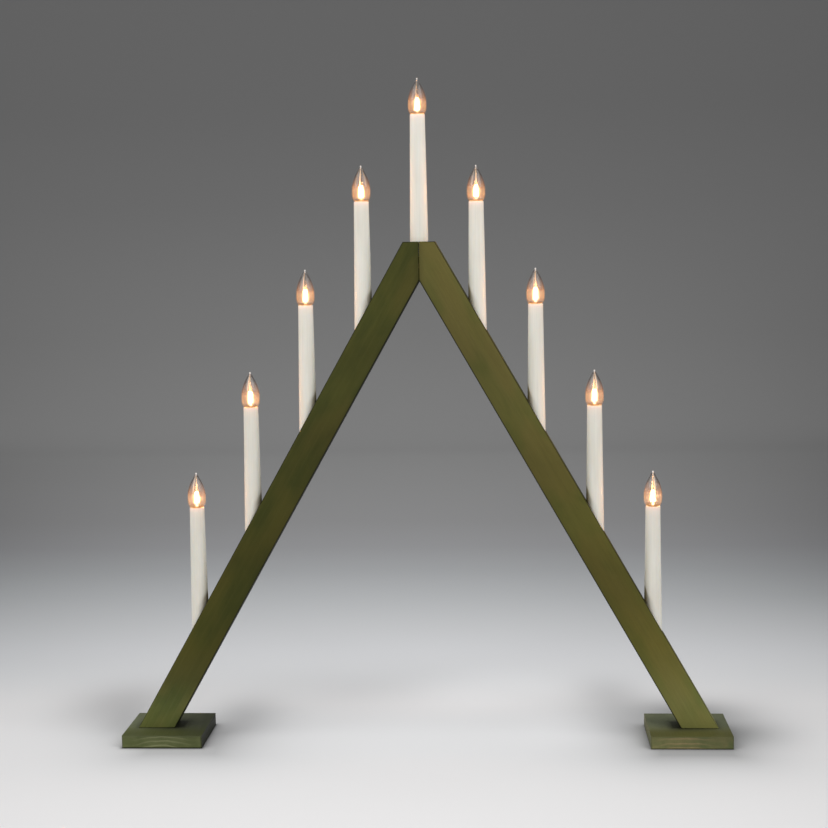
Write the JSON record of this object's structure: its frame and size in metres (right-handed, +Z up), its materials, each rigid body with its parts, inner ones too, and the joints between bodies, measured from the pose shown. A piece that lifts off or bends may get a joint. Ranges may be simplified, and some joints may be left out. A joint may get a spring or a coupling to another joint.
{
  "type": "advent candle holder",
  "caption": "Pointed wooden arch on two square feet that carries upright electric candles along its outer edges and one on its apex, each with a small screw-in bulb.",
  "frame": {"origin": "on the floor, midway between the two feet and at the middle of their depth", "axes": "+Z up, -Y towards the viewer in front, +X towards the viewer's right"},
  "size_m": [0.5274, 0.07, 0.5721],
  "materials": {
    "leg_wood": "dark olive stain, matt",
    "foot_wood": "olive stain, matt",
    "dowel_wood": "bare beech",
    "tube_plastic": "glossy off-white",
    "holder_plastic": "black moulded",
    "wire_insulation": "white insulation",
    "cap_metal": "nickelled brass screw cap",
    "solder": "dull solder",
    "screw_steel": "zinc-plated steel",
    "bulb_glass": "clear, lit from inside"
  },
  "bodies": {
    "holder": {"left_leg": "leg_wood", "left_foot": "foot_wood", "left_groove_cover": "leg_wood", "left_wiring": "wire_insulation", "left_foot_screw_front": "screw_steel", "left_foot_screw_rear": "screw_steel", "right_leg": "leg_wood", "right_foot": "foot_wood", "right_groove_cover": "leg_wood", "right_wiring": "wire_insulation", "right_foot_screw_front": "screw_steel", "right_foot_screw_rear": "screw_steel", "apex_dowel_front": "dowel_wood", "apex_dowel_rear": "dowel_wood", "cord_gland": "holder_plastic", "candle_tube_1": "tube_plastic", "lampholder_1": "holder_plastic", "candle_tube_2": "tube_plastic", "lampholder_2": "holder_plastic", "candle_tube_3": "tube_plastic", "lampholder_3": "holder_plastic", "candle_tube_4": "tube_plastic", "lampholder_4": "holder_plastic", "candle_tube_5": "tube_plastic", "lampholder_5": "holder_plastic", "candle_tube_6": "tube_plastic", "lampholder_6": "holder_plastic", "candle_tube_7": "tube_plastic", "lampholder_7": "holder_plastic", "candle_tube_8": "tube_plastic", "lampholder_8": "holder_plastic", "candle_tube_9": "tube_plastic", "lampholder_9": "holder_plastic"},
    "bulb_1_lift": {"bulb_1_contact": "solder"},
    "bulb_1": {"bulb_1_glass": "bulb_glass", "bulb_1_base": "cap_metal"},
    "bulb_2_lift": {"bulb_2_contact": "solder"},
    "bulb_2": {"bulb_2_glass": "bulb_glass", "bulb_2_base": "cap_metal"},
    "bulb_3_lift": {"bulb_3_contact": "solder"},
    "bulb_3": {"bulb_3_glass": "bulb_glass", "bulb_3_base": "cap_metal"},
    "bulb_4_lift": {"bulb_4_contact": "solder"},
    "bulb_4": {"bulb_4_glass": "bulb_glass", "bulb_4_base": "cap_metal"},
    "bulb_5_lift": {"bulb_5_contact": "solder"},
    "bulb_5": {"bulb_5_glass": "bulb_glass", "bulb_5_base": "cap_metal"},
    "bulb_6_lift": {"bulb_6_contact": "solder"},
    "bulb_6": {"bulb_6_glass": "bulb_glass", "bulb_6_base": "cap_metal"},
    "bulb_7_lift": {"bulb_7_contact": "solder"},
    "bulb_7": {"bulb_7_glass": "bulb_glass", "bulb_7_base": "cap_metal"},
    "bulb_8_lift": {"bulb_8_contact": "solder"},
    "bulb_8": {"bulb_8_glass": "bulb_glass", "bulb_8_base": "cap_metal"},
    "bulb_9_lift": {"bulb_9_contact": "solder"},
    "bulb_9": {"bulb_9_glass": "bulb_glass", "bulb_9_base": "cap_metal"}
  },
  "joints": [
    {"name": "bulb_1_rise", "type": "slide", "parent": "holder", "child": "bulb_1_lift", "axis": [0, 0, 1], "range_m": [0, 0.0073]},
    {"name": "bulb_1_turn", "type": "hinge", "parent": "bulb_1_lift", "child": "bulb_1", "pos_m": [-0.1984, 0, 0.20609], "axis": [0, 0, 1], "range_deg": [0, 1440]},
    {"name": "bulb_2_rise", "type": "slide", "parent": "holder", "child": "bulb_2_lift", "axis": [0, 0, 1], "range_m": [0, 0.0073]},
    {"name": "bulb_2_turn", "type": "hinge", "parent": "bulb_2_lift", "child": "bulb_2", "pos_m": [-0.1486, 0, 0.29376], "axis": [0, 0, 1], "range_deg": [0, 1440]},
    {"name": "bulb_3_rise", "type": "slide", "parent": "holder", "child": "bulb_3_lift", "axis": [0, 0, 1], "range_m": [0, 0.0073]},
    {"name": "bulb_3_turn", "type": "hinge", "parent": "bulb_3_lift", "child": "bulb_3", "pos_m": [-0.0988, 0, 0.38142], "axis": [0, 0, 1], "range_deg": [0, 1440]},
    {"name": "bulb_4_rise", "type": "slide", "parent": "holder", "child": "bulb_4_lift", "axis": [0, 0, 1], "range_m": [0, 0.0073]},
    {"name": "bulb_4_turn", "type": "hinge", "parent": "bulb_4_lift", "child": "bulb_4", "pos_m": [-0.049, 0, 0.46908], "axis": [0, 0, 1], "range_deg": [0, 1440]},
    {"name": "bulb_5_rise", "type": "slide", "parent": "holder", "child": "bulb_5_lift", "axis": [0, 0, 1], "range_m": [0, 0.0073]},
    {"name": "bulb_5_turn", "type": "hinge", "parent": "bulb_5_lift", "child": "bulb_5", "pos_m": [0, 0, 0.5416], "axis": [0, 0, 1], "range_deg": [0, 1440]},
    {"name": "bulb_6_rise", "type": "slide", "parent": "holder", "child": "bulb_6_lift", "axis": [0, 0, 1], "range_m": [0, 0.0073]},
    {"name": "bulb_6_turn", "type": "hinge", "parent": "bulb_6_lift", "child": "bulb_6", "pos_m": [0.049, 0, 0.46788], "axis": [0, 0, 1], "range_deg": [0, 1440]},
    {"name": "bulb_7_rise", "type": "slide", "parent": "holder", "child": "bulb_7_lift", "axis": [0, 0, 1], "range_m": [0, 0.0073]},
    {"name": "bulb_7_turn", "type": "hinge", "parent": "bulb_7_lift", "child": "bulb_7", "pos_m": [0.0988, 0, 0.38022], "axis": [0, 0, 1], "range_deg": [0, 1440]},
    {"name": "bulb_8_rise", "type": "slide", "parent": "holder", "child": "bulb_8_lift", "axis": [0, 0, 1], "range_m": [0, 0.0073]},
    {"name": "bulb_8_turn", "type": "hinge", "parent": "bulb_8_lift", "child": "bulb_8", "pos_m": [0.1486, 0, 0.29256], "axis": [0, 0, 1], "range_deg": [0, 1440]},
    {"name": "bulb_9_rise", "type": "slide", "parent": "holder", "child": "bulb_9_lift", "axis": [0, 0, 1], "range_m": [0, 0.0073]},
    {"name": "bulb_9_turn", "type": "hinge", "parent": "bulb_9_lift", "child": "bulb_9", "pos_m": [0.1984, 0, 0.20489], "axis": [0, 0, 1], "range_deg": [0, 1440]}
  ],
  "couplings": [
    {"joint": "bulb_1_rise", "follows": "bulb_1_turn", "m_per_rad": 0.0002887},
    {"joint": "bulb_2_rise", "follows": "bulb_2_turn", "m_per_rad": 0.0002887},
    {"joint": "bulb_3_rise", "follows": "bulb_3_turn", "m_per_rad": 0.0002887},
    {"joint": "bulb_4_rise", "follows": "bulb_4_turn", "m_per_rad": 0.0002887},
    {"joint": "bulb_5_rise", "follows": "bulb_5_turn", "m_per_rad": 0.0002887},
    {"joint": "bulb_6_rise", "follows": "bulb_6_turn", "m_per_rad": 0.0002887},
    {"joint": "bulb_7_rise", "follows": "bulb_7_turn", "m_per_rad": 0.0002887},
    {"joint": "bulb_8_rise", "follows": "bulb_8_turn", "m_per_rad": 0.0002887},
    {"joint": "bulb_9_rise", "follows": "bulb_9_turn", "m_per_rad": 0.0002887}
  ]
}
